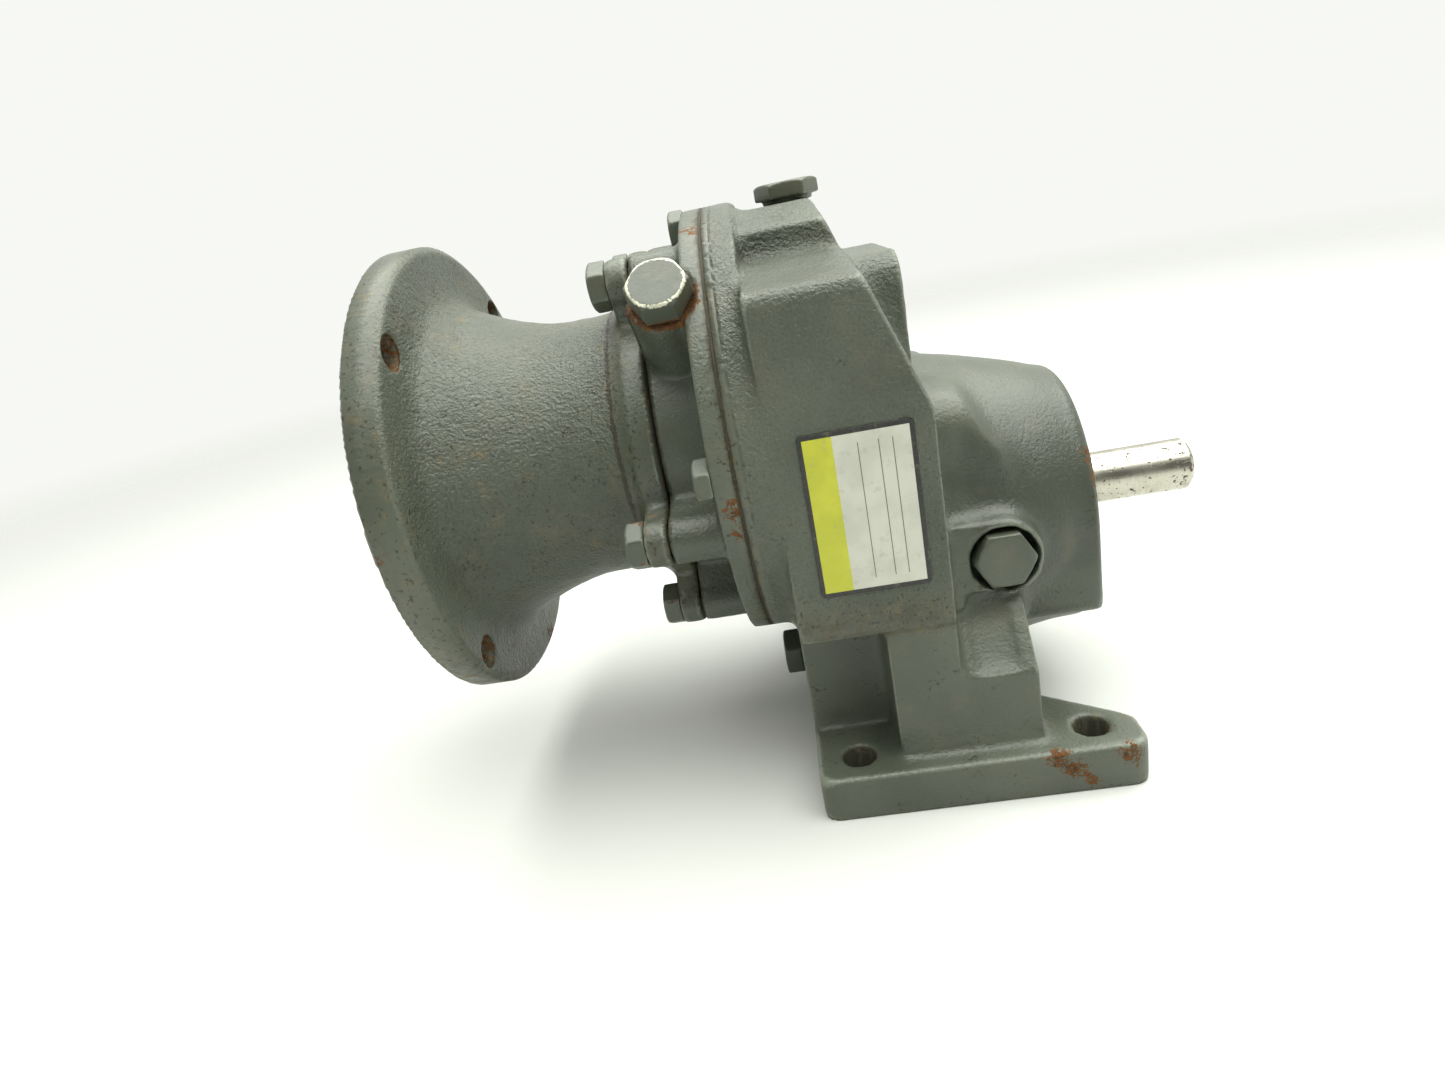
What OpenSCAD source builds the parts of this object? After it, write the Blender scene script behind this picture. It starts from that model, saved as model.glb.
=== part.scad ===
// Foot-mounted inline gear reducer, single helical reduction, 5 to 1.
// Frame: origin at the centre of the foot bolt pattern on the underside, +X along the output shaft, +Z up.
// Both shafts lie in the plane y = 0, the input shaft above the output shaft. Angles around the input
// shaft are counted from +Y (the far side) towards +Z (up), so 90 is the top and 180 the near side.

/* [Shaft lines] */
// Height of the output shaft above the base
out_h = 76.2; // [74:0.1:80]
// Distance from the output shaft up to the input shaft
centre_dist = 44.45; // [44.45:0.05:46]

/* [Foot] */
// Bolt spacing along the shafts
foot_bolt_x = 76.2; // [74:0.1:80]
// Bolt spacing across the shafts
foot_bolt_y = 136.525; // [134:0.1:140]
// Diameter of the foot bolt holes
foot_hole_d = 11.11; // [9:0.01:12]
// Thickness of the foot
foot_t = 15.9; // [13:0.1:18]
// Half width of the foot across the shafts
foot_half_w = 81; // [80:0.5:84]

/* [Housing] */
// Radius of the round joint flange
rim_r = 76.2; // [75:0.1:78]
// Half width of the flat side walls
case_half_w = 75; // [74:0.5:76]
// Height of the shoulder beside the breather boss
case_top = 177.5; // [175:0.5:180]
// Height of the breather boss
boss_top = 193; // [190:0.5:196]
// Large radius of the tapered output hub
hub_big_r = 58; // [56:0.5:60]
// Small radius of the tapered output hub
hub_small_r = 43.5; // [42:0.5:45]

/* [Motor face] */
// Outer diameter of the motor flange
motor_flange_d = 165.1; // [160:0.1:170]
// Thickness of the motor flange
motor_flange_t = 12.7; // [10:0.1:15]
// Diameter of the register recess
motor_register_d = 114.3; // [114.3:0.1:116]
// Bolt circle diameter on the motor flange
motor_pcd = 149.225; // [148:0.005:150]
// Diameter of the motor bolt holes
motor_hole_d = 11.11; // [10:0.01:12]
// Diameter of the bore that takes the motor shaft
motor_bore_d = 15.9; // [15.88:0.01:16]
// Radius of the neck between the two flanges
neck_r = 47.5; // [46:0.5:49]

/* [Output shaft] */
// Diameter of the output shaft extension
out_shaft_d = 19.05; // [18:0.01:19.5]

/* [Gears] */
// Teeth on the input pinion
pinion_teeth = 12; // [12:1:12]
// Teeth on the output gear
gear_teeth = 60; // [60:1:60]
// Helix angle of the teeth
helix_angle = 14; // [0:1:20]
// Thinning of each tooth at the pitch circle for backlash
backlash = 0.16; // [0.1:0.01:0.3]

/* [Hidden] */

$fn = 96;
eps = 0.05;
fit = 0.05;
in_h = out_h + centre_dist;

// Colours
paint = [0.36, 0.39, 0.39];
steel = [0.72, 0.72, 0.70];
dark_steel = [0.45, 0.45, 0.44];
fibre = [0.28, 0.22, 0.16];
rubber_black = [0.08, 0.08, 0.08];
brass_tone = [0.72, 0.60, 0.32];

// Places along the shafts
x_motor_face = -172.7;
x_motor_back = x_motor_face + motor_flange_t;
x_neck_start = -118;
x_plate_front = -94;
gasket_t = 0.8;
x_adapter_joint = -85.5;
x_plate_back = x_adapter_joint - gasket_t;
x_cover_face = -68;
x_cover_joint = -61.4;
x_rim_face = x_cover_joint + gasket_t;
x_rim_back = -50.3;
x_case_end = -2;
x_ped_front = -52;
x_hub_end = 52.5;
x_hub_boss = 56.3;
x_shaft_end = 97.6;

// Bearings: bore radius, outer radius, width, ball radius, number of balls
brg_25 = [12.5, 26, 15, 3.97, 9];
brg_30 = [15, 31, 16, 4.76, 9];
brg_12 = [6, 16, 10, 2.98, 7];
x_out_rear_brg = -1;
x_out_front_brg = 33;
x_in_front_brg = x_adapter_joint + 0.5;
x_in_rear_brg = -19;

// Fasteners
cover_screw_r = 69.85;
cover_screw_angles = [0, 90, 180, 270];
adapter_screw_r = 63;
adapter_screw_angles = [67.5, 112.5, 199, 247.5, 292.5, 341];
dowel_r = 3;
dowel_angles = [22.5, 202.5];
// Shank radius, width across flats and head height
small_screw = [3.9, 12.7, 5.4];
big_screw = [4.7, 14.29, 6.2];
screw_play = 0.3;
plug_af = 17.46;
plug_stud_r = 7.5;
fill_angle = 135;
x_fill = -74.3;
fill_boss_h = 74;
x_level = 16.8;
y_level_face = -61;
level_recess = 6.5;
x_breather = -32;
z_drain = 22;

// ---------- helpers ----------

// Solid cylinder along X from x0 to x1, on a line at height h and side offset y
module rod_x(x0, x1, r, h, y = 0) {
    translate([x0, y, h]) rotate([0, 90, 0]) cylinder(h = x1 - x0, r = r);
}

// Ring along X
module tube_x(x0, x1, r_out, r_in, h) {
    difference() {
        rod_x(x0, x1, r_out, h);
        rod_x(x0 - 1, x1 + 1, r_in, h);
    }
}

// Turns a profile of [radius, x] points round a line along X at height h
module turned_x(h) {
    translate([0, 0, h]) rotate([0, 90, 0]) rotate_extrude() children();
}

// Extrudes a profile of [y, z] points along X from x0 to x1
module slab_x(x0, x1) {
    translate([x0, 0, 0]) rotate([90, 0, 90]) linear_extrude(height = x1 - x0) children();
}

// Copies a child to each angle on a circle round the input shaft
module round_input(r, angles) {
    for (a = angles) translate([0, r * cos(a), in_h + r * sin(a)]) children();
}

// Rods along X, of radius r from x0 over a length, on a circle round the input shaft
module rods_round_input(circle_r, angles, x0, length, r) {
    round_input(circle_r, angles) translate([x0, 0, 0]) rotate([0, 90, 0]) cylinder(h = length, r = r);
}

// Points of an arc
function arc(c, r, a0, a1, n) =
    [for (i = [0 : n]) let (a = a0 + (a1 - a0) * i / n) c + r * [cos(a), sin(a)]];

// Mirrors a half outline of [x, y] points about the x axis and joins both halves
function both_sides(pts) = concat(pts, [for (i = [len(pts) - 1 : -1 : 0]) [pts[i][0], -pts[i][1]]]);

// Hex head standing on z = 0, with a chamfered top
module hex_head(af, h) {
    corner_r = af / 2 / cos(30);
    intersection() {
        cylinder(h = h, r = corner_r, $fn = 6);
        rotate_extrude()
            polygon([[0, 0], [corner_r + 1, 0], [corner_r + 1, h - 1.3], [af / 2 - 0.4, h], [0, h]]);
    }
}

// Hex screw along X: the head is on the -X side of x = 0 and the shank on the +X side
module hex_screw(size, len) {
    rotate([0, -90, 0]) hex_head(size[1], size[2]);
    translate([-eps, 0, 0]) rotate([0, 90, 0]) cylinder(h = len, r = size[0]);
}

// Pipe plug standing on z = 0: hex head above, stud below
module pipe_plug(head_h, stud_r, stud_len, af) {
    hex_head(af, head_h);
    translate([0, 0, -stud_len]) rotate_extrude() polygon([
        [0, 0], [stud_r - 1, 0], [stud_r, 1], [stud_r, stud_len + eps], [0, stud_len + eps]
    ]);
}

// Split ring: r_in to r_out, with a gap at the top
module snap_ring(x0, x1, r_in, r_out, h, gap) {
    difference() {
        tube_x(x0, x1, r_out, r_in, h);
        translate([x0 - 1, -gap / 2, h + r_in - 2]) cube([x1 - x0 + 2, gap, r_out - r_in + 4]);
    }
}

// ---------- housing ----------

// Cross section of the case: flat side walls, sloping shoulders and a raised breather boss
module case_section() {
    case_bottom = 63.5;
    wall_top = 172;
    wall_corner = 4;
    boss_side = 34;
    boss_slope_z = 186.5;
    boss_flat = 16;
    polygon(concat(
        [[-case_half_w, case_bottom], [case_half_w, case_bottom]],
        arc([case_half_w - wall_corner, wall_top - wall_corner], wall_corner, 0, 80, 4),
        [[boss_side, case_top], [boss_side, boss_slope_z], [boss_flat, boss_top]],
        [[-boss_flat, boss_top], [-boss_side, boss_slope_z], [-boss_side, case_top]],
        arc([wall_corner - case_half_w, wall_top - wall_corner], wall_corner, 100, 180, 4)
    ));
}

// Removes what is beyond the sloping face at the top of the output side
module sloping_cut() {
    slope_start = 132.5;
    slope_top = 200;
    lean = 0.381;
    rotate([90, 0, 0]) translate([0, 0, -90]) linear_extrude(height = 180) polygon([
        [x_case_end, slope_start], [x_case_end + 30, slope_start],
        [x_case_end + 30, slope_top], [x_case_end - lean * (slope_top - slope_start), slope_top]
    ]);
}

module case_body() {
    slab_x(x_rim_back - 0.3, x_case_end) case_section();
}

// Upright block with rounded upper corners, round the rear pinion bearing
module bearing_block() {
    block_top = 173;
    slab_x(x_case_end - 24, x_case_end + 0.5) round_top_square(37, in_h - 50, block_top, 9);
}

// Upright rectangle with rounded upper corners, half_w to each side, from z0 to z1
module round_top_square(half_w, z0, z1, r) {
    translate([-half_w, z0]) square([2 * half_w, z1 - z0 - r]);
    translate([-half_w + r, z0]) square([2 * (half_w - r), z1 - z0]);
    for (s = [-1, 1]) translate([s * (half_w - r), z1 - r]) circle(r = r);
}

// Radius of the bulging upper hub at x
function hub_r(x) = hub_big_r - (hub_big_r - hub_small_r) * pow(max(0, x) / x_hub_end, 1.4);

// Tapered hub round the output shaft, with straight sides below the axis and a machined end boss
module output_hub() {
    corner = 5;
    end_boss_r = 30;
    drop = 3.5;
    lower_r = 46.2;
    lower_corner = 2.5;
    side_bottom = 43;
    side_corner = 7;
    x_lower_end = x_hub_end - 0.5;
    x_start = x_case_end - 4;
    steps = 6;
    turned_x(out_h) polygon(concat(
        [[0, x_start], [hub_big_r, x_start]],
        [for (i = [0 : steps]) let (x = (x_hub_end - corner) * i / steps) [hub_r(x), x]],
        arc([hub_r(x_hub_end - corner) - corner, x_hub_end - corner], corner, 15, 90, 5),
        [[end_boss_r, x_hub_end], [end_boss_r, x_hub_boss], [0, x_hub_boss]]
    ));
    turned_x(out_h - drop) polygon(concat(
        [[0, x_start], [lower_r + 7, x_start], [lower_r + 7, 0], [lower_r + 0.4, 40]],
        arc([lower_r - lower_corner, x_lower_end - lower_corner], lower_corner, 0, 90, 5),
        [[0, x_lower_end]]
    ));
    intersection() {
        slab_x(x_start, x_lower_end)
            mirror([0, 1]) round_top_square(lower_r, drop - out_h, -side_bottom, side_corner);
        linear_extrude(height = out_h) polygon(both_sides(concat(
            [[x_start, -lower_r]],
            arc([x_lower_end - lower_corner, lower_corner - lower_r], lower_corner, 270, 360, 5)
        )));
    }
}

// Square shoulders of the gear chamber, ending in a scalloped face above the hub
module chamber_shoulders() {
    half_w = 51;
    top = 129.5;
    bottom = out_h - 30;
    x_start = x_case_end - 2;
    intersection() {
        slab_x(x_start, 30) round_top_square(half_w, bottom, top, 14);
        rotate([90, 0, 0]) translate([0, 0, -60]) linear_extrude(height = 120) polygon([
            [x_start, bottom], [24, bottom], [22.5, 109], [19.6, 111], [15.7, 118], [13.4, 126], [12, top + 1],
            [x_start, top + 1]
        ]);
    }
}

// Round boss for the level plug, carried back to the case
module level_boss() {
    boss_r = 13.2;
    boss_h = out_h + 0.4;
    boss_x = x_level - 0.2;
    block_bottom = out_h - 16;
    translate([boss_x, 0, boss_h]) rotate([90, 0, 0]) cylinder(h = -y_level_face, r = boss_r);
    translate([x_case_end - 2, y_level_face, block_bottom])
        cube([boss_x - x_case_end + 2, -y_level_face - 0.5, boss_h + boss_r - block_bottom]);
}

// Foot plate with two ears on the output side and a waist between them
module foot_plate() {
    x_front = -52.4;
    x_ear = 53;
    corner = 5;
    front_corner = 4;
    x_waist = 24;
    waist_half_w = 42;
    linear_extrude(height = foot_t) polygon(both_sides(concat(
        [[x_front, -10]],
        arc([x_front + front_corner, front_corner - foot_half_w], front_corner, 180, 270, 5),
        arc([x_ear - corner, corner - foot_half_w], corner, 270, 360, 7),
        [[x_ear, -66], [x_ear - 2.5, -62.5], [x_waist, -waist_half_w], [x_waist, -10]]
    )));
}

// Pedestal between the foot and the case: a sump box and a wide web, with slopes up to the hub
module pedestal() {
    sump_half_w = 50;
    web_half_w = 73;
    x_web = -24;
    x_web_end = 22;
    case_join = 66;
    translate([x_ped_front, -sump_half_w, foot_t - 1]) cube([50, 2 * sump_half_w, case_join - foot_t + 1]);
    translate([x_web, -web_half_w, foot_t - 1])
        cube([x_case_end - x_web, 2 * web_half_w, case_join - foot_t + 1]);
    slab_x(x_case_end - 1, x_web_end) polygon([
        [-web_half_w, foot_t - 1], [-web_half_w, 42], [-60, 58], [-50, 68],
        [50, 68], [60, 58], [web_half_w, 42], [web_half_w, foot_t - 1]
    ]);
}

// Shallow cast recess in each sloping side of the pedestal
module slope_recess() {
    for (s = [-1, 1]) scale([1, s, 1])
        slab_x(3, 17) polygon([[-80, 66], [-56, 66], [-58, 57.5], [-70, 42.5], [-80, 42.5]]);
}

// Room for the gears, the sump, the bearing seats and the snap ring groove
module housing_cavities() {
    spigot_r = 60;
    pinion_room_r = 50;
    gear_room_r = 43;
    sump_half_w = 34;
    sump_floor = 13;
    bearing_shoulder_r = 22.5;
    groove_r = 27.6;
    groove_w = 1.35;
    bore_r = brg_25[1] + fit;
    x_groove = x_out_front_brg + brg_25[2];
    rod_x(x_rim_face - 1, -50, spigot_r, in_h);
    rod_x(x_rim_face - 1, x_in_rear_brg - 1, pinion_room_r, in_h);
    rod_x(-46.5, -8, gear_room_r, out_h);
    translate([-44, -sump_half_w, sump_floor]) cube([32, 2 * sump_half_w, out_h - sump_floor]);
    rod_x(-9, 0, bearing_shoulder_r, out_h);
    rod_x(x_out_rear_brg, x_hub_boss + 1, bore_r, out_h);
    rod_x(x_groove, x_groove + groove_w, groove_r, out_h);
    rod_x(x_in_rear_brg - 2, x_in_rear_brg + brg_12[2], brg_12[1] + fit, in_h);
    rod_x(x_in_rear_brg, x_in_rear_brg + brg_12[2] + 2, 12, in_h);
}

// Bolt, screw, dowel and plug holes
module housing_holes() {
    for (x = [-foot_bolt_x / 2, foot_bolt_x / 2], y = [-foot_bolt_y / 2, foot_bolt_y / 2])
        translate([x, y, -1]) cylinder(h = foot_t + 30, d = foot_hole_d);
    rods_round_input(cover_screw_r, cover_screw_angles, x_rim_face - 1, 13, small_screw[0] + eps);
    rods_round_input(cover_screw_r, dowel_angles, x_rim_face - 1, 9, dowel_r + eps);
    translate([x_breather, 0, in_h]) cylinder(h = 90, r = 6.5 + eps);
    translate([x_level, 0, out_h]) rotate([90, 0, 0]) cylinder(h = 80, r = 4);
    translate([x_level, -40, out_h]) rotate([90, 0, 0]) cylinder(h = 40, r = plug_stud_r + eps);
    translate([x_level, y_level_face + level_recess, out_h]) rotate([90, 0, 0]) cylinder(h = 20, r = 10.7);
    rod_x(x_ped_front - 5, -40, plug_stud_r + eps, z_drain);
}

module housing() {
    color(paint) difference() {
        union() {
            difference() {
                case_body();
                sloping_cut();
            }
            bearing_block();
            rod_x(x_rim_face, x_rim_back, rim_r, in_h);
            output_hub();
            chamber_shoulders();
            level_boss();
            pedestal();
            rod_x(x_ped_front - 2, -42, 12, z_drain);
            foot_plate();
        }
        housing_cavities();
        slope_recess();
        housing_holes();
    }
}

// ---------- covers and adapter ----------

// Round plate with an ear for each adapter screw, as a [y, z] outline
module eared_outline(disc_r) {
    ear_r = 8;
    web_half_w = 7;
    web_root_r = disc_r - 6;
    translate([0, in_h]) {
        circle(r = disc_r);
        for (a = adapter_screw_angles) rotate(a) {
            translate([web_root_r, -web_half_w]) square([adapter_screw_r - web_root_r, 2 * web_half_w]);
            translate([adapter_screw_r, 0]) circle(r = ear_r);
        }
    }
}

// Puts a child on the fill plug's axis, at a distance from the input shaft
module along_fill(distance) {
    translate([x_fill, 0, in_h]) rotate([fill_angle - 90, 0, 0]) translate([0, 0, distance]) children();
}

module input_cover() {
    hub_r = 49.8;
    plug_boss_r = 10.8;
    spot_face_r = 7.6;
    color(paint) difference() {
        union() {
            rod_x(x_cover_face, x_cover_joint, rim_r, in_h);
            slab_x(x_adapter_joint, x_cover_face + 1) eared_outline(hub_r);
            tube_x(x_cover_joint - 1, x_cover_joint + 5, 59.95, 53, in_h);
            along_fill(0) cylinder(h = fill_boss_h, r = plug_boss_r);
        }
        along_fill(fill_boss_h) cylinder(h = 20, r = plug_boss_r + 0.1);
        rod_x(x_adapter_joint - 1, x_in_front_brg + brg_30[2], brg_30[1] + fit, in_h);
        rod_x(x_adapter_joint - 1, x_cover_joint + 6, 27, in_h);
        rod_x(x_cover_joint - 3, x_cover_joint + 1, 45, in_h);
        rods_round_input(adapter_screw_r, adapter_screw_angles, x_adapter_joint - 1, 17, big_screw[0] + eps);
        rods_round_input(cover_screw_r, cover_screw_angles, x_cover_face - 30, 30, spot_face_r);
        rods_round_input(cover_screw_r, cover_screw_angles, x_cover_face - 1, 20, small_screw[0] + screw_play);
        rods_round_input(cover_screw_r, dowel_angles, x_cover_joint - 5, 20, dowel_r + eps);
        along_fill(50) cylinder(h = 30, r = plug_stud_r + eps);
        along_fill(52) rotate([0, 90, 0]) cylinder(h = 20, r = 3);
    }
}

// Outer radius of the horn-shaped neck at x
function horn_r(x) = neck_r + 15 * pow(max(0, x_neck_start - x) / (x_neck_start - x_motor_back), 1.6);

module motor_adapter() {
    wall = 7.5;
    steps = 14;
    horn_x = [for (i = [0 : steps]) x_neck_start + (x_motor_back - x_neck_start) * i / steps];
    flange_r = motor_flange_d / 2;
    through_r = big_screw[0] + screw_play;
    color(paint) difference() {
        union() {
            turned_x(in_h) polygon(concat(
                [[0, x_plate_back - 1], [51.2, x_plate_back - 1], [51.2, x_plate_front],
                 [49.5, x_plate_front - 3], [49.5, x_plate_front - 4.5], [neck_r, x_plate_front - 5.5]],
                [for (x = horn_x) [horn_r(x), x]],
                [[flange_r - 1.5, x_motor_back], [flange_r, x_motor_back - 1.5],
                 [flange_r, x_motor_face + 1], [flange_r - 1, x_motor_face], [0, x_motor_face]]
            ));
            slab_x(x_plate_front, x_plate_back) eared_outline(52);
            rod_x(x_plate_back - 2, x_in_front_brg - eps, brg_30[1] - eps, in_h);
        }
        turned_x(in_h) polygon(concat(
            [[0, -101], [neck_r - wall - 6, -101], [neck_r - wall, -107]],
            [for (x = horn_x) [horn_r(x) - wall, x]],
            [[horn_r(x_motor_back) - wall, x_motor_face - 1], [0, x_motor_face - 1]]
        ));
        rod_x(x_motor_face - 1, x_motor_face + 4.8, motor_register_d / 2, in_h);
        rod_x(-102, x_plate_back + 5, 16, in_h);
        rod_x(-94, x_plate_back + 5, 23.5 + fit, in_h);
        rod_x(x_in_front_brg - 2, x_in_front_brg + 1, 26.5, in_h);
        rods_round_input(adapter_screw_r, adapter_screw_angles, x_plate_front - 1, 10, through_r);
        rods_round_input(motor_pcd / 2, [45, 135, 225, 315], x_motor_face - 1, 24, motor_hole_d / 2);
    }
}

module cover_gasket() {
    color(fibre) difference() {
        tube_x(x_cover_joint, x_rim_face, rim_r - 0.4, 61, in_h);
        rods_round_input(cover_screw_r, cover_screw_angles, x_cover_joint - 1, 4, small_screw[0] + screw_play);
        rods_round_input(cover_screw_r, dowel_angles, x_cover_joint - 1, 4, dowel_r + screw_play);
    }
}

module adapter_gasket() {
    color(fibre) tube_x(x_plate_back, x_adapter_joint, 46.5, 31.5, in_h);
}

module cover_screws() {
    color(dark_steel) round_input(cover_screw_r, cover_screw_angles)
        translate([x_cover_face, 0, 0]) hex_screw(small_screw, 19);
}

module adapter_screws() {
    color(dark_steel) round_input(adapter_screw_r, adapter_screw_angles)
        translate([x_plate_front, 0, 0]) hex_screw(big_screw, 23);
}

module dowel_pins() {
    color(steel) rods_round_input(cover_screw_r, dowel_angles, x_cover_joint - 4.5, 12, dowel_r);
}

// ---------- plugs, plate and seals ----------

module breather_plug() {
    color(dark_steel) translate([x_breather, 0, boss_top]) {
        cylinder(h = 1.6, r = 8.4);
        translate([0, 0, 1.5]) hex_head(19.05, 5.2);
        translate([0, 0, -13]) cylinder(h = 14, r = 6.5);
    }
}

module fill_plug() {
    color(dark_steel) along_fill(fill_boss_h) pipe_plug(8.5, plug_stud_r, 14, plug_af);
}

module level_plug() {
    color(dark_steel) translate([x_level, y_level_face + level_recess, out_h]) rotate([90, 0, 0])
        pipe_plug(8.5, plug_stud_r, 12, plug_af);
}

module drain_plug() {
    color(dark_steel) translate([x_ped_front - 2, 0, z_drain]) rotate([0, -90, 0])
        pipe_plug(7, plug_stud_r, 9, plug_af);
}

module nameplate() {
    color([0.92, 0.92, 0.88]) translate([-41.8, -case_half_w - 0.4, 79]) cube([33.8, 0.4, 51.5]);
}

module output_oil_seal() {
    x0 = x_out_front_brg + brg_25[2] + 1.6;
    color(rubber_black) turned_x(out_h) polygon([
        [10.05, x0 + 3], [12.5, x0 + 0.6], [13.6, x0 + 0.6], [13.6, x0 + 4.6],
        [24.8, x0 + 4.6], [24.8, x0], [26, x0], [26, x0 + 6.4], [11.6, x0 + 6.4], [10.05, x0 + 4]
    ]);
}

module output_bearing_snap_ring() {
    x0 = x_out_front_brg + brg_25[2] + eps;
    color(dark_steel) snap_ring(x0, x0 + 1.2, 23, 27.4, out_h, 12);
}

module input_oil_seal() {
    color(rubber_black) turned_x(in_h) polygon([
        [15.05, -90.5], [16.6, -87.4], [17.8, -87.4], [17.8, -92.2], [22.4, -92.2], [22.4, -87],
        [23.5, -87], [23.5, -93.9], [16.6, -93.9], [15.05, -91.5]
    ]);
}

// ---------- bearings ----------

function pitch_r(b) = (b[0] + b[1]) / 2;

module outer_race(b, x0, h) {
    shoulder_r = pitch_r(b) + 0.55 * b[3];
    color(steel) turned_x(h) difference() {
        translate([shoulder_r, x0]) square([b[1] - shoulder_r, b[2]]);
        translate([pitch_r(b), x0 + b[2] / 2]) circle(r = b[3] + 0.1);
    }
}

module inner_race(b, x0, h) {
    shoulder_r = pitch_r(b) - 0.55 * b[3];
    color(steel) turned_x(h) difference() {
        translate([b[0] + 0.01, x0]) square([shoulder_r - b[0] - 0.01, b[2]]);
        translate([pitch_r(b), x0 + b[2] / 2]) circle(r = b[3] + 0.1);
    }
}

// Copies a child to the centre of each ball
module each_ball(b, x0, h) {
    for (i = [0 : b[4] - 1]) translate([x0 + b[2] / 2, 0, h])
        rotate([i * 360 / b[4], 0, 0]) translate([0, 0, pitch_r(b)]) children();
}

module cage(b, x0, h) {
    color(brass_tone) difference() {
        tube_x(x0 + b[2] / 2 - 1.2 * b[3], x0 + b[2] / 2 + 1.2 * b[3], pitch_r(b) + 0.35 * b[3],
               pitch_r(b) - 0.35 * b[3], h);
        each_ball(b, x0, h) sphere(r = b[3] + 0.1);
    }
}

module balls(b, x0, h) {
    color(steel) each_ball(b, x0, h) sphere(r = b[3]);
}

module output_front_outer_race() { outer_race(brg_25, x_out_front_brg, out_h); }
module output_front_inner_race() { inner_race(brg_25, x_out_front_brg, out_h); }
module output_front_cage() { cage(brg_25, x_out_front_brg, out_h); }
module output_front_balls() { balls(brg_25, x_out_front_brg, out_h); }
module output_rear_outer_race() { outer_race(brg_25, x_out_rear_brg, out_h); }
module output_rear_inner_race() { inner_race(brg_25, x_out_rear_brg, out_h); }
module output_rear_cage() { cage(brg_25, x_out_rear_brg, out_h); }
module output_rear_balls() { balls(brg_25, x_out_rear_brg, out_h); }
module input_front_outer_race() { outer_race(brg_30, x_in_front_brg, in_h); }
module input_front_inner_race() { inner_race(brg_30, x_in_front_brg, in_h); }
module input_front_cage() { cage(brg_30, x_in_front_brg, in_h); }
module input_front_balls() { balls(brg_30, x_in_front_brg, in_h); }
module input_rear_outer_race() { outer_race(brg_12, x_in_rear_brg, in_h); }
module input_rear_inner_race() { inner_race(brg_12, x_in_rear_brg, in_h); }
module input_rear_cage() { cage(brg_12, x_in_rear_brg, in_h); }
module input_rear_balls() { balls(brg_12, x_in_rear_brg, in_h); }

// ---------- gears and shafts ----------

tooth_module = 2 * centre_dist / (pinion_teeth + gear_teeth);
pressure_angle = 20;
profile_shift = 0.3;
x_gear = -41;
gear_w = 19;
x_pinion = -42;
pinion_w = 21;

// Involute roll-off angle at radius r from base radius rb, in degrees
function involute(r, rb) = r <= rb ? 0 : sqrt(pow(r / rb, 2) - 1) * 180 / PI - acos(rb / r);

// Half the angle of a tooth at radius r
function half_tooth(r, teeth, shift) =
    let (rp = tooth_module * teeth / 2, rb = rp * cos(pressure_angle))
    (PI / 2 + 2 * shift * tan(pressure_angle) - backlash / tooth_module) * tooth_module / (2 * rp) * 180 / PI
    + involute(rp, rb) - involute(r, rb);

// Outline of a spur section: flank points up one side of each tooth and down the other
function gear_outline(teeth, shift, phase) =
    let (
        rp = tooth_module * teeth / 2,
        rb = rp * cos(pressure_angle),
        r_tip = rp + (0.98 + shift) * tooth_module,
        r_root = rp - (1.25 - shift) * tooth_module,
        r_low = max(rb, r_root),
        flank = [r_root, r_low + (r_tip - r_low) * 0.12, r_low + (r_tip - r_low) * 0.5, r_tip]
    )
    [for (t = [0 : teeth - 1], side = [-1, 1], k = [0 : 3])
        let (
            r = side < 0 ? flank[k] : flank[3 - k],
            a = phase + t * 360 / teeth + side * half_tooth(r, teeth, shift)
        )
        r * [cos(a), sin(a)]];

// Helical teeth along X: hand is +1 or -1
module teeth_x(x0, width, teeth, shift, phase, hand, slices, h) {
    twist = hand * tan(helix_angle) * width / (tooth_module * teeth / 2) * 180 / PI;
    translate([x0, 0, h]) rotate([90, 0, 90])
        linear_extrude(height = width, twist = twist, slices = slices)
            rotate(twist * 0.5) polygon(gear_outline(teeth, shift, phase));
}

// Shaft key of width w on top of a shaft line, from radius r0 to r1
key_w = 4.76;
module key_block(x0, x1, r0, r1, h, grow) {
    translate([x0 - grow, -key_w / 2 - grow, h + r0 - grow])
        cube([x1 - x0 + 2 * grow, key_w + 2 * grow, r1 - r0 + 2 * grow]);
}

module output_gear() {
    hub_r = 17;
    web_r = 32;
    color(steel) difference() {
        teeth_x(x_gear, gear_w, gear_teeth, -profile_shift, 90 + 180 / gear_teeth, 1, 4, out_h);
        rod_x(x_gear - 1, x_gear + gear_w + 1, 10.02, out_h);
        tube_x(x_gear - 1, x_gear + 5, web_r, hub_r, out_h);
        tube_x(x_gear + gear_w - 5, x_gear + gear_w + 1, web_r, hub_r, out_h);
        key_block(x_gear - 2, x_gear + gear_w + 2, 7.6, 12.3, out_h, 0.03);
    }
}

module gear_key() {
    color(dark_steel) key_block(x_gear + 1, x_gear + gear_w - 1, 7.65, 12.25, out_h, 0);
}

module gear_spacer() {
    color(steel) tube_x(x_gear + gear_w, x_out_rear_brg, 14, 10.03, out_h);
}

module gear_snap_ring() {
    color(dark_steel) snap_ring(x_gear - 1.25, x_gear - eps, 9.45, 12.2, out_h, 6);
}

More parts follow.
